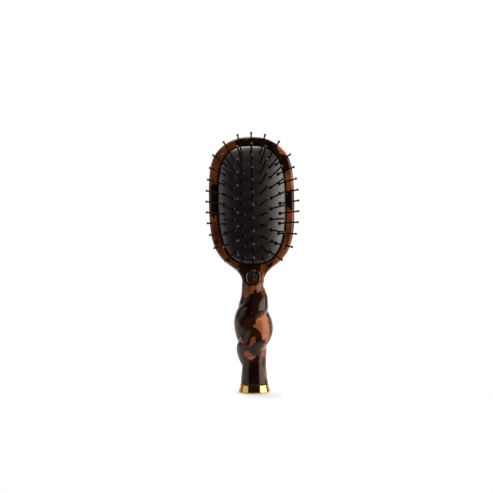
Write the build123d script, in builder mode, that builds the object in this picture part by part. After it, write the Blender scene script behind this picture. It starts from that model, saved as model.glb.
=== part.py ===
from build123d import *
from math import cos, pi, radians, sin, sqrt, tan
import os

# Vanity hairbrush: an oval cushion head on a two-strand twisted handle,
# standing on a flared metal foot.  Millimetres.  +Z is up, the pins face -Y,
# and the origin is the middle of the underside of the foot.

os.makedirs("parts", exist_ok=True)

# ---------------------------------------------------------------- dimensions

# Foot and the stud that holds it
CAP_HEIGHT = 7.0
CAP_TOP_RADIUS = 12.9
CAP_FOOT_RADIUS = 14.25
STUD_RADIUS = 3.0
STUD_BOTTOM = 2.5
STUD_TOP = 20.0

# Handle: the centre line leans gently forward, then back into the head
PATH_SQUARE = -0.00188
PATH_CUBE = 1.7056e-5
PATH_END = 92.0

# Each strand of the twist: height, bearing (0 = right, 90 = back), offset of its
# centre from the centre line, and its radius
FIRST_STRAND = [
    (16.0, -302.0, 1.8, 8.5),
    (26.0, -236.0, 2.5, 10.6),
    (36.0, -171.0, 3.0, 12.3),
    (46.0, -84.0, 3.4, 14.1),
    (56.0, -16.0, 3.3, 14.2),
    (66.0, 44.0, 2.8, 13.8),
    (76.0, 116.0, 1.7, 12.4),
    (86.0, 153.0, 0.6, 10.0),
    (94.0, 180.0, 0.2, 9.6),
]
SECOND_STRAND = [
    (7.0, -407.0, 0.3, 12.4),
    (16.0, -380.0, 0.2, 11.5),
    (26.0, -340.0, 0.4, 10.8),
    (36.0, -287.0, 1.3, 11.3),
    (46.0, -239.0, 2.7, 13.0),
    (56.0, -207.0, 3.3, 13.9),
    (66.0, -166.0, 3.0, 13.9),
    (75.0, -95.0, 2.6, 13.4),
    (82.0, -48.0, 4.2, 10.2),
    (88.0, -20.0, 5.2, 7.1),
    (94.0, 10.0, 5.4, 3.7),
]
STRAND_STEP = 3.6
HANDLE_SIDE = -0.25  # the handle stands a little to the left of the foot

# The first strand becomes the neck: height, half width, half depth, squareness
NECK = [
    (97.5, 9.6, 8.0, 2.6),
    (101.0, 9.4, 6.6, 3.0),
]

# Head, in its own leaning frame
HEAD_LEAN = 8.0
HEAD_ROOT = (0.0, -2.2, 95.2)
HEAD_FRONT = 7.5
HEAD_BACK = -7.5
HEAD_HALF_OUTLINE = [
    (9.6, 2.0),
    (10.8, 7.8),
    (14.6, 13.0),
    (21.5, 18.4),
    (27.5, 23.8),
    (31.3, 29.2),
    (34.7, 37.0),
    (37.0, 47.5),
    (38.1, 60.0),
    (38.4, 77.0),
    (37.6, 100.0),
    (33.6, 116.0),
    (24.6, 126.6),
    (12.4, 132.9),
    (0.0, 134.5),
]
FRONT_ROUND = 3.4
BACK_ROUND = 4.0
BACK_CROWN_ACROSS = 150.0
BACK_CROWN_ALONG = 900.0
BACK_CROWN_HEIGHT = 40.0

# Opening for the cushion
OPENING_HALF_WIDTH = 30.9
OPENING_MIDDLE = 76.0
OPENING_UP = 50.2
OPENING_DOWN = 59.2
SQUARENESS_UP = 2.8
SQUARENESS_DOWN = 2.7
POCKET_FLOOR = -0.5
GROOVE_LOW = 2.4
GROOVE_HIGH = 5.0
GROOVE_DEPTH = 1.7
LIP_ROUND = 0.6

# Rubber cushion and the fabric behind it
CUSHION_GAP = 0.2
CUSHION_RISE = 10.5
DOME_FULLNESS = 0.6
RUBBER = 1.5
FABRIC = 0.6
FABRIC_REACH = 0.96
BEAD_REACH = 1.2
BREATHER_RADIUS = 0.8
BREATHER_HEIGHT = 25.6
SEAM_ANGLE = 0.011  # starts each ring of the dome between two pins
DOME_LEVELS = [1.0, 0.97, 0.91, 0.82, 0.7, 0.54, 0.36, 0.18]

# Pins: sideways position of the row, first and last height, how many,
# and how far the upper and lower ends of the row curve in
OUTER_ROW = 25.2
PIN_ROWS = [
    (-OUTER_ROW, 106.9, 35.3, 9, 2.7, 4.2),
    (-16.9, 113.5, 27.9, 10, 0.4, 1.6),
    (-8.3, 117.3, 22.9, 11, 0.0, 0.0),
    (0.0, 118.7, 21.5, 12, 0.0, 0.0),
    (8.3, 117.3, 22.9, 11, 0.0, 0.0),
    (16.9, 113.5, 27.9, 10, 0.4, 1.6),
    (OUTER_ROW, 106.9, 35.3, 9, 2.7, 4.2),
]
PIN_RADIUS = 0.7
PIN_LENGTH = 20.0
BALL_RADIUS = 1.1
NAIL_RADIUS = 1.5
NAIL_THICKNESS = 0.6
NAIL_DEPTH = 3.9
HOLE_RADIUS = 0.75
# The pins fan out: lean per millimetre from the middle, and how fast it fades
SPLAY_ACROSS = 0.032
SPLAY_ACROSS_FADE = 0.0055
SPLAY_ALONG = 0.0138
SPLAY_ALONG_FADE = 0.78
SPLAY_MIDDLE = 66.0

# Medallion on the neck
MEDALLION_HEIGHT = 6.2
MEDALLION_HALF_WIDTH = 6.45
MEDALLION_HALF_HEIGHT = 7.35
MEDALLION_BAND = 0.95
MEDALLION_RECESS = 0.6
MEDALLION_PROUD = 0.9
CABOCHON_PROUD = 0.55


# ------------------------------------------------------------------- helpers

def head_plane(height):
    """Plane parallel to the front of the head, `height` in front of its middle."""
    outward = Vector(0, -cos(radians(HEAD_LEAN)), sin(radians(HEAD_LEAN)))
    return Plane(Vector(*HEAD_ROOT) + outward * height, (1, 0, 0), outward)


def centre_line(height):
    """Front-to-back position of the handle's centre at a height."""
    if height > PATH_END:
        return HEAD_ROOT[1] + (height - HEAD_ROOT[2]) * tan(radians(HEAD_LEAN))
    return PATH_SQUARE * height ** 2 + PATH_CUBE * height ** 3


def egg(half_width, up, down, square_up, square_down, count=36, start=0.0):
    """Points round an oval whose upper and lower halves differ in length and fullness."""
    points = []
    for step in range(count):
        angle = start + 2 * pi * step / count
        across, along = cos(angle), sin(angle)
        reach, square = (up, square_up) if along >= 0 else (down, square_down)
        x = half_width * abs(across) ** (2 / square) * (1 if across >= 0 else -1)
        y = reach * abs(along) ** (2 / square) * (1 if along >= 0 else -1)
        points.append((x, y))
    return points


def opening(inset=0.0, scale=1.0):
    """Points round the cushion opening, drawn in or shrunk about its middle."""
    points = egg(
        (OPENING_HALF_WIDTH - inset) * scale,
        (OPENING_UP - inset) * scale,
        (OPENING_DOWN - inset) * scale,
        SQUARENESS_UP,
        SQUARENESS_DOWN,
        start=SEAM_ANGLE,
    )
    return [(x, y + OPENING_MIDDLE) for x, y in points]


def dome_rise(scale):
    """Height of the dome, as a share of its crown, on the outline shrunk by `scale`."""
    return (1 - scale ** 2) ** DOME_FULLNESS


def outline_scale(x, y):
    """How far out a point lies: 0 in the middle of the cushion, 1 on its edge."""
    along = y - OPENING_MIDDLE
    reach, square = (OPENING_UP, SQUARENESS_UP)
    if along < 0:
        reach, square = (OPENING_DOWN, SQUARENESS_DOWN)
    total = abs(x / OPENING_HALF_WIDTH) ** square + abs(along / reach) ** square
    return total ** (1 / square)


def between(table, height):
    """Smoothly read the rows of a table between the heights it lists."""
    last = len(table) - 1
    index = 0
    while index < last - 1 and height > table[index + 1][0]:
        index += 1
    before = table[max(index - 1, 0)]
    start = table[index]
    end = table[index + 1]
    after = table[min(index + 2, last)]
    span = end[0] - start[0]
    t = (height - start[0]) / span
    values = []
    for column in range(1, len(start)):
        slope_in = (end[column] - before[column]) / (end[0] - before[0]) * span
        slope_out = (after[column] - start[column]) / (after[0] - start[0]) * span
        values.append(
            (2 * t ** 3 - 3 * t ** 2 + 1) * start[column]
            + (t ** 3 - 2 * t ** 2 + t) * slope_in
            + (3 * t ** 2 - 2 * t ** 3) * end[column]
            + (t ** 3 - t ** 2) * slope_out
        )
    return values


def strand_sections(table):
    """Round sections up one strand: height, centre x, centre y, half width, half depth."""
    low, high = table[0][0], table[-1][0]
    count = round((high - low) / STRAND_STEP)
    sections = []
    for step in range(count + 1):
        height = low + (high - low) * step / count
        bearing, offset, radius = between(table, height)
        x = HANDLE_SIDE + offset * cos(radians(bearing))
        y = centre_line(height) + offset * sin(radians(bearing))
        sections.append((height, x, y, radius, radius, 2.0))
    return sections


def strand(sections):
    """Solid strand lofted through its sections."""
    with BuildPart() as tube:
        for height, x, y, half_width, half_depth, square in sections:
            ring = egg(half_width, half_depth, half_depth, square, square, 16)
            with BuildSketch(Plane.XY.offset(height)):
                with BuildLine():
                    Spline([(x + u, y + v) for u, v in ring], periodic=True)
                make_face()
        loft()
    return tube.part


def dome(inset, rise):
    """Solid dome standing on the front of the head, `inset` inside the opening."""
    with BuildPart() as mound:
        for scale in DOME_LEVELS:
            height = HEAD_FRONT + rise * dome_rise(scale)
            with BuildSketch(head_plane(height)):
                with BuildLine():
                    Spline(opening(inset, scale), periodic=True)
                make_face()
        loft()
        with BuildSketch(head_plane(GROOVE_LOW + CUSHION_GAP)):
            with BuildLine():
                Spline(opening(inset), periodic=True)
            make_face()
        extrude(amount=HEAD_FRONT - GROOVE_LOW - CUSHION_GAP)
    return mound.part


def pin_places(row):
    """Where each pin of a row leaves the rubber, and the way it points."""
    side, first, last, count, curl_up, curl_down = row
    places = []
    for step in range(count):
        share = step / (count - 1)
        curl = curl_up * (1 - share) ** 6 + curl_down * share ** 6
        x = side - curl * (1 if side > 0 else -1)
        y = first + (last - first) * share
        lean_x = SPLAY_ACROSS * x * (1 - SPLAY_ACROSS_FADE * max(0, y - OPENING_MIDDLE))
        lean_y = SPLAY_ALONG * (y - SPLAY_MIDDLE) * (1 - SPLAY_ALONG_FADE * (x / OUTER_ROW) ** 4)
        lean_z = sqrt(1 - lean_x ** 2 - lean_y ** 2)
        rise = CUSHION_RISE * dome_rise(outline_scale(x, y))
        frame = head_plane(HEAD_FRONT + rise)
        base = frame.from_local_coords(Vector(x, y, 0))
        aim = frame.from_local_coords(Vector(lean_x, lean_y, lean_z)) - frame.origin
        places.append(Plane(base, z_dir=aim))
    return places


# ---------------------------------------------------------------- brush body

# The back of the head is gently barrel-shaped; this solid trims it to that shape
head_up = Vector(0, sin(radians(HEAD_LEAN)), cos(radians(HEAD_LEAN)))
hub = head_plane(HEAD_BACK + BACK_CROWN_ACROSS).origin
low, high = -30.0, 150.0
low_side = (low - BACK_CROWN_HEIGHT) ** 2 / (2 * BACK_CROWN_ALONG) - BACK_CROWN_ACROSS
high_side = (high - BACK_CROWN_HEIGHT) ** 2 / (2 * BACK_CROWN_ALONG) - BACK_CROWN_ACROSS

with BuildPart() as barrel:
    with BuildSketch(Plane(hub, head_up, Vector(1, 0, 0).rotate(Axis((0, 0, 0), head_up), -20))):
        with BuildLine():
            ThreePointArc((low, low_side), (BACK_CROWN_HEIGHT, -BACK_CROWN_ACROSS), (high, high_side))
            Polyline((high, high_side), (high, -120), (low, -120), (low, low_side))
        make_face()
    revolve(axis=Axis(hub, head_up), revolution_arc=40)

neck_sections = [
    (height, HANDLE_SIDE, centre_line(height), half_width, half_depth, square)
    for height, half_width, half_depth, square in NECK
]
first_strand = strand(strand_sections(FIRST_STRAND) + neck_sections)
second_strand = strand(strand_sections(SECOND_STRAND))

outward_axis = Axis(HEAD_ROOT, head_plane(0).z_dir)
other_half_outline = [(-x, y) for x, y in reversed(HEAD_HALF_OUTLINE[:-1])]

with BuildPart() as brush_body:
    # Head slab with a barrel-shaped back and rounded rim
    with BuildSketch(head_plane(HEAD_BACK)):
        with BuildLine():
            Spline(HEAD_HALF_OUTLINE + other_half_outline)
            Line(other_half_outline[-1], HEAD_HALF_OUTLINE[0])
        make_face()
    extrude(amount=HEAD_FRONT - HEAD_BACK)
    add(barrel.part, mode=Mode.INTERSECT)
    rims = brush_body.edges().filter_by(lambda edge: edge.length > 200)
    front_rim = rims.sort_by(outward_axis)[-1]
    fillet(front_rim, FRONT_ROUND)
    rims = brush_body.edges().filter_by(lambda edge: edge.length > 200)
    back_rim = rims.sort_by(outward_axis)[0]
    fillet(back_rim, BACK_ROUND)

    # Pocket for the cushion, with a groove behind its lip
    with BuildSketch(head_plane(POCKET_FLOOR)):
        with BuildLine():
            Spline(opening(), periodic=True)
        make_face()
    extrude(amount=HEAD_FRONT - POCKET_FLOOR + 1, mode=Mode.SUBTRACT)
    lip = brush_body.faces().filter_by(head_plane(0)).sort_by(outward_axis)[-1]
    fillet(lip.inner_wires()[0].edges(), LIP_ROUND)
    with BuildSketch(head_plane(GROOVE_LOW)):
        with BuildLine():
            Spline(opening(-GROOVE_DEPTH), periodic=True)
        make_face()
    extrude(amount=GROOVE_HIGH - GROOVE_LOW, mode=Mode.SUBTRACT)

    # Twisted handle
    add(first_strand)
    add(second_strand)

    # Seat for the medallion
    with BuildSketch(head_plane(0)):
        with Locations((0, MEDALLION_HEIGHT)):
            Ellipse(MEDALLION_HALF_WIDTH + 0.25, MEDALLION_HALF_HEIGHT + 0.25)
    extrude(amount=HEAD_FRONT)
    with BuildSketch(head_plane(HEAD_FRONT - MEDALLION_RECESS)):
        with Locations((0, MEDALLION_HEIGHT)):
            Ellipse(MEDALLION_HALF_WIDTH, MEDALLION_HALF_HEIGHT)
    extrude(amount=3, mode=Mode.SUBTRACT)

    # Bore for the stud in the lower end
    with BuildSketch(Plane.XY.offset(CAP_HEIGHT - 1)):
        Circle(STUD_RADIUS)
    extrude(amount=STUD_TOP - CAP_HEIGHT + 1, mode=Mode.SUBTRACT)

brush_body.part.label = "brush_body"
export_step(brush_body.part, "parts/brush_body.step")

# ------------------------------------------------------------- foot and stud

with BuildPart() as base_cap:
    with BuildSketch(Plane.XZ):
        with BuildLine():
            Line((0, 0), (CAP_FOOT_RADIUS - 0.9, 0))
            ThreePointArc(
                (CAP_FOOT_RADIUS - 0.9, 0),
                (CAP_FOOT_RADIUS - 0.25, 0.3),
                (CAP_FOOT_RADIUS, 1.0),
            )
            Spline(
                (CAP_FOOT_RADIUS, 1.0),
                (CAP_TOP_RADIUS + 0.45, 3.8),
                (CAP_TOP_RADIUS, CAP_HEIGHT - 0.3),
            )
            Line((CAP_TOP_RADIUS, CAP_HEIGHT - 0.3), (CAP_TOP_RADIUS - 0.3, CAP_HEIGHT))
            Line((CAP_TOP_RADIUS - 0.3, CAP_HEIGHT), (STUD_RADIUS, CAP_HEIGHT))
            Line((STUD_RADIUS, CAP_HEIGHT), (STUD_RADIUS, STUD_BOTTOM))
            Line((STUD_RADIUS, STUD_BOTTOM), (0, STUD_BOTTOM))
            Line((0, STUD_BOTTOM), (0, 0))
        make_face()
    revolve(axis=Axis.Z)

base_cap.part.label = "base_cap"
export_step(base_cap.part, "parts/base_cap.step")

with BuildPart() as cap_stud:
    with BuildSketch(Plane.XY.offset(STUD_BOTTOM)):
        Circle(STUD_RADIUS)
    extrude(amount=STUD_TOP - STUD_BOTTOM)
    chamfer(cap_stud.edges(), 0.4)

cap_stud.part.label = "cap_stud"
export_step(cap_stud.part, "parts/cap_stud.step")

# ----------------------------------------------------------------- medallion

with BuildPart() as medallion_rim:
    with BuildSketch(head_plane(HEAD_FRONT - MEDALLION_RECESS)):
        with Locations((0, MEDALLION_HEIGHT)):
            Ellipse(MEDALLION_HALF_WIDTH, MEDALLION_HALF_HEIGHT)
            Ellipse(
                MEDALLION_HALF_WIDTH - MEDALLION_BAND,
                MEDALLION_HALF_HEIGHT - MEDALLION_BAND,
                mode=Mode.SUBTRACT,
            )
    extrude(amount=MEDALLION_RECESS + MEDALLION_PROUD)
    rim_front = medallion_rim.faces().sort_by(outward_axis)[-1]
    fillet(rim_front.edges(), MEDALLION_BAND * 0.42)

medallion_rim.part.label = "medallion_rim"
export_step(medallion_rim.part, "parts/medallion_rim.step")

with BuildPart() as medallion_disc:
    with BuildSketch(head_plane(HEAD_FRONT - MEDALLION_RECESS)):
        with Locations((0, MEDALLION_HEIGHT)):
            Ellipse(
                MEDALLION_HALF_WIDTH - MEDALLION_BAND,
                MEDALLION_HALF_HEIGHT - MEDALLION_BAND,
            )
    extrude(amount=MEDALLION_RECESS + CABOCHON_PROUD)
    disc_front = medallion_disc.faces().sort_by(outward_axis)[-1]
    fillet(disc_front.edges(), 0.5)

medallion_disc.part.label = "medallion_disc"
export_step(medallion_disc.part, "parts/medallion_disc.step")

# ---------------------------------------------------------- cushion and pins

with BuildPart() as one_pin:
    with BuildSketch(Plane.XZ):
        with BuildLine():
            ball_middle = PIN_LENGTH - BALL_RADIUS
            ball_start = ball_middle - sqrt(BALL_RADIUS ** 2 - PIN_RADIUS ** 2)
            Polyline(
                (0, -NAIL_DEPTH - NAIL_THICKNESS),
                (NAIL_RADIUS, -NAIL_DEPTH - NAIL_THICKNESS),
                (NAIL_RADIUS, -NAIL_DEPTH),
                (PIN_RADIUS, -NAIL_DEPTH),
                (PIN_RADIUS, ball_start),
            )
            ThreePointArc((PIN_RADIUS, ball_start), (BALL_RADIUS, ball_middle), (0, PIN_LENGTH))
            Line((0, PIN_LENGTH), (0, -NAIL_DEPTH - NAIL_THICKNESS))
        make_face()
    revolve(axis=Axis.Z)

with BuildPart() as pin_holes:
    for row in PIN_ROWS:
        for place in pin_places(row):
            with Locations(place):
                Cylinder(HOLE_RADIUS, 2 * NAIL_DEPTH)

with BuildPart() as cushion_membrane:
    add(dome(CUSHION_GAP, CUSHION_RISE))
    with BuildSketch(head_plane(GROOVE_LOW + CUSHION_GAP)):
        with BuildLine():
            Spline(opening(-BEAD_REACH), periodic=True)
        make_face()
    extrude(amount=GROOVE_HIGH - GROOVE_LOW - 2 * CUSHION_GAP)
    add(dome(CUSHION_GAP + RUBBER, CUSHION_RISE - RUBBER), mode=Mode.SUBTRACT)
    with Locations(head_plane(HEAD_FRONT)):
        with Locations((0, BREATHER_HEIGHT, CUSHION_RISE / 2)):
            Cylinder(BREATHER_RADIUS, CUSHION_RISE, mode=Mode.SUBTRACT)
    add(pin_holes.part, mode=Mode.SUBTRACT)

cushion_membrane.part.label = "cushion_membrane"
export_step(cushion_membrane.part, "parts/cushion_membrane.step")

fabric_edge = HEAD_FRONT + (CUSHION_RISE - RUBBER) * dome_rise(FABRIC_REACH)

with BuildPart() as pin_head_liner:
    add(dome(CUSHION_GAP + RUBBER, CUSHION_RISE - RUBBER))
    add(dome(CUSHION_GAP + RUBBER + FABRIC, CUSHION_RISE - RUBBER - FABRIC), mode=Mode.SUBTRACT)
    split(bisect_by=head_plane(fabric_edge), keep=Keep.TOP)
    add(pin_holes.part, mode=Mode.SUBTRACT)

pin_head_liner.part.label = "pin_head_liner"
export_step(pin_head_liner.part, "parts/pin_head_liner.step")

for number, row in enumerate(PIN_ROWS, start=1):
    with BuildPart() as pin_row:
        for place in pin_places(row):
            with Locations(place):
                add(one_pin.part)
    pin_row.part.label = f"pin_row_{number}"
    export_step(pin_row.part, f"parts/pin_row_{number}.step")
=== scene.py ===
import math

import bpy
import numpy as np
from mathutils import Matrix, Vector


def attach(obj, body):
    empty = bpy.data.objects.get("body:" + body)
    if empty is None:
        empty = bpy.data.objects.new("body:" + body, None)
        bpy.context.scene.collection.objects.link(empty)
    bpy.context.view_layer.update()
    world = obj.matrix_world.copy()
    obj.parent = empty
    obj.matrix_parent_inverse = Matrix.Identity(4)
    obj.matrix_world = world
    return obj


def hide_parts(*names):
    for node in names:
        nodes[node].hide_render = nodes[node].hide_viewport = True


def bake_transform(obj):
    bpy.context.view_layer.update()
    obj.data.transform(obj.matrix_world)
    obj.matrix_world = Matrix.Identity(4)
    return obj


# Looks for the vanity hairbrush: tortoiseshell body with a twisted handle, rubber
# cushion with ball-tipped pins, gold foot and a small medallion.  The CAD model is
# the frame; every length below is in millimetres and becomes metres in the mesh.

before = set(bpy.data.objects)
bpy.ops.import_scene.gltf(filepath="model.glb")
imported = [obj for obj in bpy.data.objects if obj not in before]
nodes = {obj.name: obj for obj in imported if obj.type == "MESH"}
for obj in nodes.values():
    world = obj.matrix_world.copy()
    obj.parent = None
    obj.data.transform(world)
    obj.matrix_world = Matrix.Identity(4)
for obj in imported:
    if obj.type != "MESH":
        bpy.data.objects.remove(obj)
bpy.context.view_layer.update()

MM = 0.001

# The head's own frame: across, up along its lean, and out through its front
LEAN = math.radians(8.0)
HEAD_ROOT = np.array([0.0, -2.2, 95.2])
HEAD_ACROSS = np.array([1.0, 0.0, 0.0])
HEAD_UP = np.array([0.0, math.sin(LEAN), math.cos(LEAN)])
HEAD_OUT = np.array([0.0, -math.cos(LEAN), math.sin(LEAN)])

# Cushion: the opening that it fills, its rim down in the groove as share of the
# opening and height, and the raised collar round each pin as radius and height,
# with the material of each of the collar's bands
FRONT = 7.5
HALF_WIDTH, MIDDLE, REACH_UP, REACH_DOWN = 30.9, 76.0, 50.2, 59.2
SQUARE_UP, SQUARE_DOWN = 2.8, 2.7
RISE = 10.5
FULLNESS = 0.6
GAP = 0.2
CUSHION_RIM = [
    (1.0, 3.0),
    (1.0, 5.2),
    (0.998, 5.4),
    (0.986, 5.4),
    (0.982, 5.8),
    (0.981, 7.0),
    (0.980, 7.8),
]
SHOULDER = 0.978
SHOULDER_DROP = 0.8
SHOULDER_WIDTH = 0.012
COLLAR_PROFILE = [
    (1.9, -0.35),
    (1.6, 0.05),
    (1.35, 0.4),
    (1.15, 0.65),
    (0.95, 0.78),
    (0.8, 0.7),
    (0.7, 0.0),
]
# Band tag 1 takes the darker collar rubber, which is painted shade at each pin's foot
COLLAR_SHADE_BANDS = [0, 1, 1, 1, 1, 1]

# Pins: sideways position of the row, first and last height, how many,
# and how far the upper and lower ends of the row curve in
OUTER_ROW = 25.2
PIN_ROWS = [
    (-OUTER_ROW, 106.9, 35.3, 9, 2.7, 4.2),
    (-16.9, 113.5, 27.9, 10, 0.4, 1.6),
    (-8.3, 117.3, 22.9, 11, 0.0, 0.0),
    (0.0, 118.7, 21.5, 12, 0.0, 0.0),
    (8.3, 117.3, 22.9, 11, 0.0, 0.0),
    (16.9, 113.5, 27.9, 10, 0.4, 1.6),
    (OUTER_ROW, 106.9, 35.3, 9, 2.7, 4.2),
]
SPLAY_ACROSS = 0.032
SPLAY_ACROSS_FADE = 0.0055
SPLAY_ALONG = 0.0138
SPLAY_ALONG_FADE = 0.78
SPLAY_MIDDLE = 66.0
PIN_LENGTH, PIN_RADIUS, BALL_RADIUS = 20.0, 0.7, 1.1
NAIL_PROFILE = [(0.0, -4.5), (1.4, -4.5), (1.5, -4.4), (1.5, -4.0), (1.4, -3.9), (PIN_RADIUS, -3.9)]
SHAFT_HEIGHTS = [2.0, 8.0, 14.0]
BALL_STEPS = 10

# Foot: radius and height, from the middle of its underside round to its bore
FOOT_PROFILE = [
    (0.0, 0.0),
    (13.0, 0.0),
    (13.5, 0.02),
    (13.85, 0.12),
    (14.1, 0.35),
    (14.22, 0.65),
    (14.25, 1.0),
    (13.95, 1.9),
    (13.68, 2.8),
    (13.42, 3.8),
    (13.2, 4.8),
    (13.02, 5.8),
    (12.92, 6.4),
    (12.88, 6.65),
    (12.78, 6.85),
    (12.6, 6.97),
    (12.3, 7.0),
    (3.0, 7.0),
]

# Medallion: its middle on the head, its surround as inset and rise, and its plate
MEDALLION_HEIGHT = 6.2
MEDALLION_HALF_WIDTH, MEDALLION_HALF_HEIGHT = 6.45, 7.35
MEDALLION_SECTION = [
    (0.0, -0.55),
    (0.0, 0.45),
    (0.08, 0.75),
    (0.25, 0.92),
    (0.5, 0.98),
    (0.72, 0.9),
    (0.88, 0.7),
    (0.95, 0.4),
    (0.95, -0.55),
]
PLATE_HALF_WIDTH, PLATE_HALF_HEIGHT = 5.5, 6.4
PLATE_BASE, PLATE_DOME = 0.1, 0.35
PETAL_RISE, PETAL_REACH, PETAL_WAVE = 0.28, 0.42, 0.12

# Tortoiseshell: the part of the endless pattern that falls on the brush
FLAKE_PLACE = (0.1, 0.57, 0.19)
FLAKE_SCALE = 85.0
FLAKE_RAGGEDNESS = 0.011

# Studio, in metres, with the floor still in millimetres: softboxes as name,
# place, aim, width, height and watts
FLOOR_RADIUS, FLOOR_MIDDLE = 350, 270
SOFTBOXES = [
    ("right_box", (1.05, -0.33, 0.30), (0, 0, 0.13), 1.2, 1.2, 21.0),
    ("left_box", (-1.07, -0.24, 0.30), (0, 0, 0.13), 1.0, 1.2, 4.4),
    ("top_box", (-0.10, 0.20, 1.25), (0, 0, 0.0), 0.6, 0.6, 10.0),
]
CAMERA_PLACE = (-0.0053, -0.830, 0.1296)
CAMERA_LENS = 67.9
ROUND_THE_BRUSH = -1.5
CAMERA_ROLL = -0.8


# ------------------------------------------------------------------ geometry

def head_point(x, y, out):
    """A point of the leaning head's own frame, in the frame of the whole brush."""
    return HEAD_ROOT + x * HEAD_ACROSS + y * HEAD_UP + out * HEAD_OUT


def head_direction(x, y, out):
    """A direction of the head's own frame, in the frame of the whole brush."""
    return x * HEAD_ACROSS + y * HEAD_UP + out * HEAD_OUT


def new_piece(name, vertices, faces, materials, face_materials=None):
    """A mesh object from points in millimetres."""
    mesh = bpy.data.meshes.new(name)
    mesh.from_pydata([tuple(np.asarray(v) * MM) for v in vertices], [], faces)
    for material in materials:
        mesh.materials.append(material)
    if face_materials is not None:
        mesh.polygons.foreach_set("material_index", face_materials)
    mesh.polygons.foreach_set("use_smooth", [True] * len(mesh.polygons))
    mesh.validate()
    mesh.update()
    piece = bpy.data.objects.new(name, mesh)
    bpy.context.scene.collection.objects.link(piece)
    return piece


def opening_outline(inset, count):
    """Evenly spaced points round the cushion opening, about its middle."""
    dense = []
    for step in range(4000):
        angle = 2 * math.pi * step / 4000
        across, along = math.cos(angle), math.sin(angle)
        reach, square = (REACH_UP, SQUARE_UP) if along >= 0 else (REACH_DOWN, SQUARE_DOWN)
        dense.append((
            math.copysign((HALF_WIDTH - inset) * abs(across) ** (2 / square), across),
            math.copysign((reach - inset) * abs(along) ** (2 / square), along),
        ))
    dense = np.array(dense + dense[:1])
    lengths = np.concatenate([[0], np.cumsum(np.linalg.norm(np.diff(dense, axis=0), axis=1))])
    wanted = np.arange(count) / count * lengths[-1]
    return np.stack([np.interp(wanted, lengths, dense[:, axis]) for axis in (0, 1)], axis=1)


def outline_scale(x, y):
    """How far out a point of the head lies, 1 being the edge of the opening."""
    along = y - MIDDLE
    reach, square = (REACH_UP, SQUARE_UP) if along >= 0 else (REACH_DOWN, SQUARE_DOWN)
    return (abs(x / HALF_WIDTH) ** square + abs(along / reach) ** square) ** (1 / square)


def dome_height(x, y):
    """Height of the cushion's dome in the head's own frame."""
    return FRONT + RISE * max(0.0, 1 - outline_scale(x, y) ** 2) ** FULLNESS


def dome_normal(x, y):
    """Direction that points straight out of the dome."""
    step = 0.2
    slope_x = (dome_height(x + step, y) - dome_height(x - step, y)) / (2 * step)
    slope_y = (dome_height(x, y + step) - dome_height(x, y - step)) / (2 * step)
    normal = np.array([-slope_x, -slope_y, 1.0])
    return normal / np.linalg.norm(normal)


def pins_of(row):
    """Base point and direction of each pin of a row, in the head's frame."""
    side, first, last, count, curl_up, curl_down = row
    pins = []
    for step in range(count):
        share = step / (count - 1)
        curl = curl_up * (1 - share) ** 6 + curl_down * share ** 6
        x = side - curl * (1 if side > 0 else -1)
        y = first + (last - first) * share
        lean_x = SPLAY_ACROSS * x * (1 - SPLAY_ACROSS_FADE * max(0.0, y - MIDDLE))
        lean_y = SPLAY_ALONG * (y - SPLAY_MIDDLE) * (1 - SPLAY_ALONG_FADE * (x / OUTER_ROW) ** 4)
        lean_out = math.sqrt(1 - lean_x ** 2 - lean_y ** 2)
        pins.append((np.array([x, y, dome_height(x, y)]), np.array([lean_x, lean_y, lean_out])))
    return pins


def ring_faces(rings, count):
    """Quads between rings of `count` points that follow one another."""
    faces = []
    for level in range(rings - 1):
        low, high = level * count, (level + 1) * count
        for step in range(count):
            after = (step + 1) % count
            faces.append((low + step, low + after, high + after, high + step))
    return faces


def lathe(profile, origin, direction, count, vertices, faces, tags=None, tag_of=None):
    """Adds the surface of a profile (radius, height) turned about a direction."""
    direction = direction / np.linalg.norm(direction)
    helper = np.array([0.0, 0.0, 1.0]) if abs(direction[2]) < 0.9 else np.array([1.0, 0.0, 0.0])
    side = np.cross(direction, helper)
    side /= np.linalg.norm(side)
    other = np.cross(direction, side)
    rings = []
    for radius, height in profile:
        if radius < 1e-6:
            rings.append([len(vertices)])
            vertices.append(origin + direction * height)
            continue
        ring = []
        for step in range(count):
            angle = 2 * math.pi * step / count
            ring.append(len(vertices))
            offset = side * math.cos(angle) + other * math.sin(angle)
            vertices.append(origin + direction * height + offset * radius)
        rings.append(ring)
    for level in range(len(rings) - 1):
        low, high = rings[level], rings[level + 1]
        for step in range(count):
            after = (step + 1) % count
            if len(low) == 1 and len(high) == 1:
                continue
            if len(low) == 1:
                faces.append((low[0], high[after], high[step]))
            elif len(high) == 1:
                faces.append((low[step], low[after], high[0]))
            else:
                faces.append((low[step], low[after], high[after], high[step]))
            if tags is not None:
                tags.append(tag_of[level])


# ----------------------------------------------------------------- materials

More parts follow.
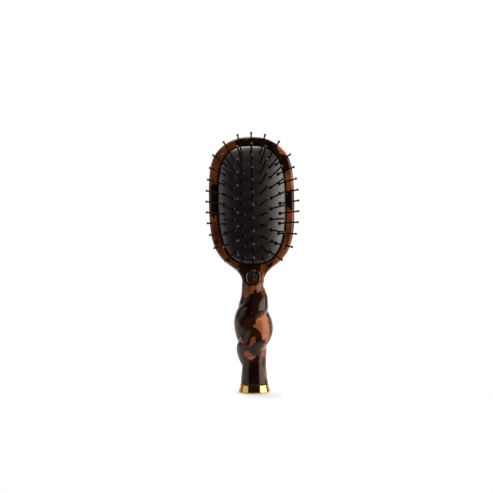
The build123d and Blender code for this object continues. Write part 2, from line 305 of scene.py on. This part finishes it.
class Shader:
    """A small helper that adds nodes to one material."""

    def __init__(self, name):
        self.material = bpy.data.materials.new(name)
        self.material.use_nodes = True
        self.tree = self.material.node_tree
        self.surface = self.tree.nodes["Principled BSDF"]

    def add(self, kind, **settings):
        node = self.tree.nodes.new(kind)
        for key, value in settings.items():
            setattr(node, key, value)
        return node

    def link(self, source, target):
        self.tree.links.new(source, target)

    def set(self, **values):
        for key, value in values.items():
            self.surface.inputs[key.replace("_", " ")].default_value = value

    def coordinates(self, scale=(1.0, 1.0, 1.0), place=(0.0, 0.0, 0.0)):
        source = self.add("ShaderNodeTexCoord")
        mapping = self.add("ShaderNodeMapping")
        mapping.inputs["Scale"].default_value = scale
        mapping.inputs["Location"].default_value = place
        self.link(source.outputs["Object"], mapping.inputs["Vector"])
        return mapping.outputs["Vector"]

    def noise(self, vector, scale, detail=3.0, roughness=0.5):
        node = self.add("ShaderNodeTexNoise")
        node.inputs["Scale"].default_value = scale
        node.inputs["Detail"].default_value = detail
        node.inputs["Roughness"].default_value = roughness
        self.link(vector, node.inputs["Vector"])
        return node

    def ramp(self, source, stops):
        node = self.add("ShaderNodeValToRGB")
        elements = node.color_ramp.elements
        while len(elements) < len(stops):
            elements.new(0.5)
        for element, (position, color) in zip(elements, stops):
            element.position = position
            element.color = (*color, 1.0)
        self.link(source, node.inputs["Fac"])
        return node.outputs["Color"]

    def mix(self, factor, first, second, blend="MIX"):
        node = self.add("ShaderNodeMix", data_type="RGBA", blend_type=blend)
        for value, name in ((factor, "Factor"), (first, "A"), (second, "B")):
            for socket in node.inputs:
                kind = "VALUE" if name == "Factor" else "RGBA"
                if socket.name == name and socket.type == kind:
                    if isinstance(value, bpy.types.NodeSocket):
                        self.link(value, socket)
                    else:
                        socket.default_value = value
                    break
        for socket in node.outputs:
            if socket.type == "RGBA":
                return socket

    def grey(self, source, low, high):
        node = self.add("ShaderNodeMapRange")
        node.inputs["To Min"].default_value = low
        node.inputs["To Max"].default_value = high
        self.link(source, node.inputs["Value"])
        return node.outputs["Result"]

    def bump(self, source, strength, distance):
        node = self.add("ShaderNodeBump")
        node.inputs["Strength"].default_value = strength
        node.inputs["Distance"].default_value = distance
        self.link(source, node.inputs["Height"])
        self.link(node.outputs["Normal"], self.surface.inputs["Normal"])


def tortoiseshell():
    """Ragged flakes, dark and amber, with cloudy depth and a soft polish."""
    shader = Shader("tortoiseshell_acetate")
    vector = shader.coordinates((1.0, 1.0, 0.75), FLAKE_PLACE)
    wobble = shader.noise(vector, 130.0, 4.0, 0.65)
    shift = shader.add("ShaderNodeVectorMath", operation="MULTIPLY_ADD")
    shift.inputs[1].default_value = (FLAKE_RAGGEDNESS, FLAKE_RAGGEDNESS, FLAKE_RAGGEDNESS)
    shader.link(wobble.outputs["Color"], shift.inputs[0])
    shader.link(vector, shift.inputs[2])
    flakes = shader.add("ShaderNodeTexVoronoi", distance="MANHATTAN", feature="F1")
    flakes.inputs["Scale"].default_value = FLAKE_SCALE
    shader.link(shift.outputs["Vector"], flakes.inputs["Vector"])
    split = shader.add("ShaderNodeSeparateColor")
    shader.link(flakes.outputs["Color"], split.inputs["Color"])
    flake_color = shader.ramp(split.outputs["Red"], [
        (0.0, (0.014, 0.0045, 0.003)),
        (0.44, (0.034, 0.011, 0.006)),
        (0.50, (0.14, 0.035, 0.012)),
        (0.64, (0.31, 0.083, 0.026)),
        (1.0, (0.45, 0.138, 0.048)),
    ])
    deep = shader.noise(vector, 70.0, 2.0, 0.5)
    depth = shader.ramp(deep.outputs["Fac"], [
        (0.38, (0.42, 0.35, 0.33)),
        (0.62, (1.0, 1.0, 1.0)),
    ])
    shader.link(shader.mix(1.0, flake_color, depth, "MULTIPLY"), shader.surface.inputs["Base Color"])
    polish = shader.noise(vector, 400.0, 2.0)
    shader.link(shader.grey(polish.outputs["Fac"], 0.10, 0.20), shader.surface.inputs["Roughness"])
    shader.set(IOR=1.5, Specular_IOR_Level=0.28, Specular_Tint=(1.0, 0.74, 0.60, 1.0))
    waves = shader.noise(vector, 60.0, 2.0)
    shader.bump(waves.outputs["Fac"], 0.15, 0.0006)
    return shader.material


def rubber(name, dark, light, gloss):
    """Finely grained rubber, faintly mottled."""
    shader = Shader(name)
    vector = shader.coordinates()
    mottle = shader.noise(vector, 90.0, 4.0, 0.6)
    shader.link(
        shader.ramp(mottle.outputs["Fac"], [(0.3, dark), (0.7, light)]),
        shader.surface.inputs["Base Color"],
    )
    shader.link(shader.grey(mottle.outputs["Fac"], 0.34, 0.46), shader.surface.inputs["Roughness"])
    grain = shader.noise(vector, 2500.0, 2.0)
    shader.bump(grain.outputs["Fac"], 0.25, 0.0001)
    shader.set(IOR=1.52, Specular_IOR_Level=gloss, Specular_Tint=(1.0, 0.90, 0.85, 1.0))
    return shader.material


def nylon(name, dark, light, rough_low, rough_high, gloss):
    """Smooth plastic with a slight change of tone."""
    shader = Shader(name)
    vector = shader.coordinates()
    tone = shader.noise(vector, 260.0, 3.0)
    shader.link(
        shader.ramp(tone.outputs["Fac"], [(0.3, dark), (0.7, light)]),
        shader.surface.inputs["Base Color"],
    )
    shader.link(shader.grey(tone.outputs["Fac"], rough_low, rough_high), shader.surface.inputs["Roughness"])
    shader.set(IOR=1.53, Specular_IOR_Level=gloss)
    return shader.material


def metal(name, dark, light, rough_low, rough_high, brushing):
    """Metal with uneven polish; `brushing` under 1 draws the marks out upwards."""
    shader = Shader(name)
    vector = shader.coordinates((1.0, 1.0, brushing))
    tone = shader.noise(vector, 120.0, 4.0)
    shader.link(
        shader.ramp(tone.outputs["Fac"], [(0.3, dark), (0.7, light)]),
        shader.surface.inputs["Base Color"],
    )
    shader.link(shader.grey(tone.outputs["Fac"], rough_low, rough_high), shader.surface.inputs["Roughness"])
    fine = shader.noise(vector, 900.0, 3.0)
    shader.bump(fine.outputs["Fac"], 0.05, 0.00005)
    shader.set(Metallic=1.0)
    return shader.material


def cloth():
    """Dark woven fabric."""
    shader = Shader("liner_cloth")
    vector = shader.coordinates()
    weave = shader.add("ShaderNodeTexWave", wave_type="BANDS", bands_direction="DIAGONAL")
    weave.inputs["Scale"].default_value = 700.0
    weave.inputs["Distortion"].default_value = 1.0
    shader.link(vector, weave.inputs["Vector"])
    shader.link(
        shader.ramp(weave.outputs["Fac"], [(0.2, (0.006, 0.006, 0.007)), (0.8, (0.02, 0.02, 0.022))]),
        shader.surface.inputs["Base Color"],
    )
    shader.bump(weave.outputs["Fac"], 0.4, 0.0002)
    shader.set(Roughness=0.85, Sheen_Weight=0.3)
    return shader.material


def floor_material():
    """Matt white card that glows a little, so that it fades into the backdrop."""
    shader = Shader("pale_floor")
    vector = shader.coordinates()
    tone = shader.noise(vector, 6.0, 2.0)
    shader.link(
        shader.ramp(tone.outputs["Fac"], [(0.3, (0.93, 0.93, 0.93)), (0.7, (0.95, 0.95, 0.95))]),
        shader.surface.inputs["Base Color"],
    )
    shader.set(Roughness=0.9, Specular_IOR_Level=0.0)
    shader.set(Emission_Color=(1.0, 1.0, 1.0, 1.0), Emission_Strength=0.24)
    return shader.material


TORTOISE = tortoiseshell()
RUBBER = rubber("cushion_rubber", (0.007, 0.006, 0.005), (0.015, 0.012, 0.010), 0.72)
# Collars: a darker, less glossy copy of the cushion rubber, painted shade at each pin's foot
COLLAR_SHADE = rubber("collar_painted_shade", (0.003, 0.002, 0.002), (0.006, 0.005, 0.004), 0.15)
PIN_SHAFT = nylon("pin_nylon", (0.002, 0.001, 0.001), (0.006, 0.003, 0.003), 0.30, 0.42, 0.10)
PIN_BALL = nylon("pin_ball_nylon", (0.018, 0.006, 0.004), (0.05, 0.018, 0.012), 0.12, 0.20, 0.5)
GOLD = metal("gold_metal", (0.50, 0.285, 0.090), (0.58, 0.340, 0.114), 0.07, 0.14, 0.3)
BRONZE = metal("pale_bronze", (0.14, 0.095, 0.070), (0.22, 0.155, 0.115), 0.18, 0.30, 1.0)
STEEL = metal("stud_steel", (0.38, 0.38, 0.39), (0.5, 0.5, 0.51), 0.28, 0.4, 0.2)
CABOCHON = nylon("cabochon", (0.020, 0.008, 0.007), (0.055, 0.022, 0.017), 0.10, 0.18, 0.5)
CLOTH = cloth()


def paint(name, material):
    """Gives a CAD node its material."""
    mesh = nodes[name].data
    mesh.materials.clear()
    mesh.materials.append(material)


# ---------------------------------------------------------------- brush body

body = nodes["brush_body"]
paint("brush_body", TORTOISE)
weld = body.modifiers.new("weld", "WELD")
weld.merge_threshold = 0.00001
remesh = body.modifiers.new("remesh", "REMESH")
remesh.mode = "VOXEL"
remesh.voxel_size = 0.0005
remesh.use_smooth_shade = True
soften = body.modifiers.new("soften", "SMOOTH")
soften.factor = 0.5
soften.iterations = 3

paint("cap_stud", STEEL)
paint("pin_head_liner", CLOTH)


# ------------------------------------------------------------------- cushion

def build_cushion():
    """The rubber dome with its rim and one collar for each pin; the collars take a darker rubber that
    paints the shade at each pin's foot.
    """
    vertices = []
    count, levels = 288, 64
    outline = opening_outline(GAP, count)
    rings = list(CUSHION_RIM)
    lowest = math.acos(SHOULDER)
    for level in range(levels):
        angle = lowest + (math.pi / 2 - lowest) * level / levels
        scale = math.cos(angle)
        height = FRONT + RISE * math.sin(angle) ** (2 * FULLNESS)
        rounding = SHOULDER_DROP * math.exp(-(SHOULDER - scale) / SHOULDER_WIDTH)
        rings.append((scale, height - rounding))
    for scale, height in rings:
        for x, y in outline:
            vertices.append(head_point(x * scale, MIDDLE + y * scale, height))
    faces = ring_faces(len(rings), count)
    crown = len(vertices)
    vertices.append(head_point(0, MIDDLE, FRONT + RISE))
    top = (len(rings) - 1) * count
    for step in range(count):
        faces.append((top + step, top + (step + 1) % count, crown))
    tags = [0] * len(faces)
    for row in PIN_ROWS:
        for base, aim in pins_of(row):
            between = dome_normal(base[0], base[1]) * 0.6 + aim * 0.4
            origin, upward = head_point(*base), head_direction(*between)
            lathe(COLLAR_PROFILE, origin, upward, 16, vertices, faces, tags, COLLAR_SHADE_BANDS)
    return new_piece("cushion", vertices, faces, [RUBBER, COLLAR_SHADE], tags)


cushion = build_cushion()
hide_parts("cushion_membrane")
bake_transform(cushion)


# ---------------------------------------------------------------------- pins

def build_pins(number, row):
    """One row of pins, each turned from its nail head up to its ball tip."""
    vertices, faces, tags = [], [], []
    middle = PIN_LENGTH - BALL_RADIUS
    profile = NAIL_PROFILE + [(PIN_RADIUS, height) for height in SHAFT_HEIGHTS]
    tag_of = [0] * len(profile)
    neck = math.pi - math.asin(PIN_RADIUS / BALL_RADIUS)
    for step in range(BALL_STEPS):
        angle = neck * (1 - step / BALL_STEPS)
        profile.append((BALL_RADIUS * math.sin(angle), middle + BALL_RADIUS * math.cos(angle)))
        tag_of.append(1)
    profile.append((0.0, PIN_LENGTH))
    for base, aim in pins_of(row):
        lathe(profile, head_point(*base), head_direction(*aim), 14, vertices, faces, tags, tag_of)
    piece = new_piece(f"pins_row_{number}", vertices, faces, [PIN_SHAFT, PIN_BALL], tags)
    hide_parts(f"pin_row_{number}")
    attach(piece, f"pins_{number}")


for number, row in enumerate(PIN_ROWS, start=1):
    build_pins(number, row)


# ---------------------------------------------------------------------- foot

def build_foot():
    """The flared foot, with rolled edges above and below."""
    vertices, faces = [], []
    lathe(FOOT_PROFILE, np.array([0.0, 0.0, 0.0]), np.array([0.0, 0.0, 1.0]), 160, vertices, faces)
    piece = new_piece("gold_foot", vertices, faces, [GOLD])
    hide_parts("base_cap")
    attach(piece, "brush")


build_foot()


# ----------------------------------------------------------------- medallion

def build_medallion_ring():
    """The rounded surround of the medallion."""
    vertices = []
    count = 96
    for inset, rise in MEDALLION_SECTION:
        for step in range(count):
            angle = 2 * math.pi * step / count
            x = (MEDALLION_HALF_WIDTH - inset) * math.cos(angle)
            y = (MEDALLION_HALF_HEIGHT - inset) * math.sin(angle)
            vertices.append(head_point(x, MEDALLION_HEIGHT + y, FRONT + rise))
    rim = new_piece("medallion_ring", vertices, ring_faces(len(MEDALLION_SECTION), count), [BRONZE])
    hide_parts("medallion_rim")
    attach(rim, "brush")


def build_medallion_plate():
    """The domed plate inside the surround, with a plain four-petal relief."""
    vertices = []
    count, levels = 96, 26
    for level in range(levels + 1):
        share = 1 - level / levels
        for step in range(count):
            angle = 2 * math.pi * step / count
            x = PLATE_HALF_WIDTH * share * math.cos(angle)
            y = PLATE_HALF_HEIGHT * share * math.sin(angle)
            rise = PLATE_BASE + PLATE_DOME * (1 - share ** 2)
            petal = max(0.0, 1 - (share / (PETAL_REACH + PETAL_WAVE * math.cos(4 * angle))) ** 4)
            rise += PETAL_RISE * petal ** 0.5
            vertices.append(head_point(x, MEDALLION_HEIGHT + y, FRONT + rise))
    disc = new_piece("medallion_cabochon", vertices, ring_faces(levels + 1, count), [CABOCHON])
    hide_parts("medallion_disc")
    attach(disc, "brush")


build_medallion_ring()
build_medallion_plate()


# --------------------------------------------------------- floor, light, camera

def build_floor():
    """A round sheet under and behind the brush."""
    vertices = []
    count = 96
    for step in range(count):
        angle = 2 * math.pi * step / count
        across, back = FLOOR_RADIUS * math.cos(angle), FLOOR_RADIUS * math.sin(angle)
        vertices.append((across, FLOOR_MIDDLE + back, 0))
    floor = new_piece("floor", vertices, [tuple(range(count))], [floor_material()])


build_floor()


def softbox(name, place, target, width, height, power):
    """A rectangular lamp that faces its target."""
    light = bpy.data.lights.new(name, "AREA")
    light.shape = "RECTANGLE"
    light.size = width
    light.size_y = height
    light.energy = power
    lamp = bpy.data.objects.new(name, light)
    bpy.context.scene.collection.objects.link(lamp)
    aim = Vector(target) - Vector(place)
    lamp.matrix_world = Matrix.Translation(place) @ aim.to_track_quat("-Z", "Y").to_matrix().to_4x4()


for settings in SOFTBOXES:
    softbox(*settings)


def build_studio():
    """White for the camera; for the light, a white backdrop behind and a dark room in front."""
    world = bpy.data.worlds.new("studio")
    world.use_nodes = True
    bpy.context.scene.world = world
    tree = world.node_tree
    link = tree.links.new
    white = tree.nodes["Background"]
    white.inputs["Color"].default_value = (1.0, 1.0, 1.0, 1.0)
    white.inputs["Strength"].default_value = 1.0
    direction = tree.nodes.new("ShaderNodeTexCoord")
    parts = tree.nodes.new("ShaderNodeSeparateXYZ")
    link(direction.outputs["Generated"], parts.inputs["Vector"])
    behind = tree.nodes.new("ShaderNodeMapRange")
    behind.interpolation_type = "SMOOTHSTEP"
    behind.inputs["From Min"].default_value = 0.25
    behind.inputs["From Max"].default_value = 0.75
    behind.inputs["To Min"].default_value = 0.02
    behind.inputs["To Max"].default_value = 0.9
    link(parts.outputs["Y"], behind.inputs["Value"])
    room = tree.nodes.new("ShaderNodeBackground")
    room.inputs["Color"].default_value = (1.0, 0.95, 0.91, 1.0)
    link(behind.outputs["Result"], room.inputs["Strength"])
    seen = tree.nodes.new("ShaderNodeLightPath")
    either = tree.nodes.new("ShaderNodeMixShader")
    link(seen.outputs["Is Camera Ray"], either.inputs["Fac"])
    link(room.outputs["Background"], either.inputs[1])
    link(white.outputs["Background"], either.inputs[2])
    link(either.outputs["Shader"], tree.nodes["World Output"].inputs["Surface"])


build_studio()


def build_camera():
    """The photograph's own view: straight on, a touch from the left and slightly rolled."""
    camera_data = bpy.data.cameras.new("camera")
    camera_data.sensor_width = 36.0
    camera_data.lens = CAMERA_LENS
    camera = bpy.data.objects.new("camera", camera_data)
    bpy.context.scene.collection.objects.link(camera)
    camera.matrix_world = (
        Matrix.Rotation(math.radians(ROUND_THE_BRUSH), 4, "Z")
        @ Matrix.Translation(CAMERA_PLACE)
        @ Matrix.Rotation(math.radians(90.0), 4, "X")
        @ Matrix.Rotation(math.radians(CAMERA_ROLL), 4, "Z")
    )
    bpy.context.scene.camera = camera


build_camera()
bpy.context.scene.view_settings.view_transform = "Standard"
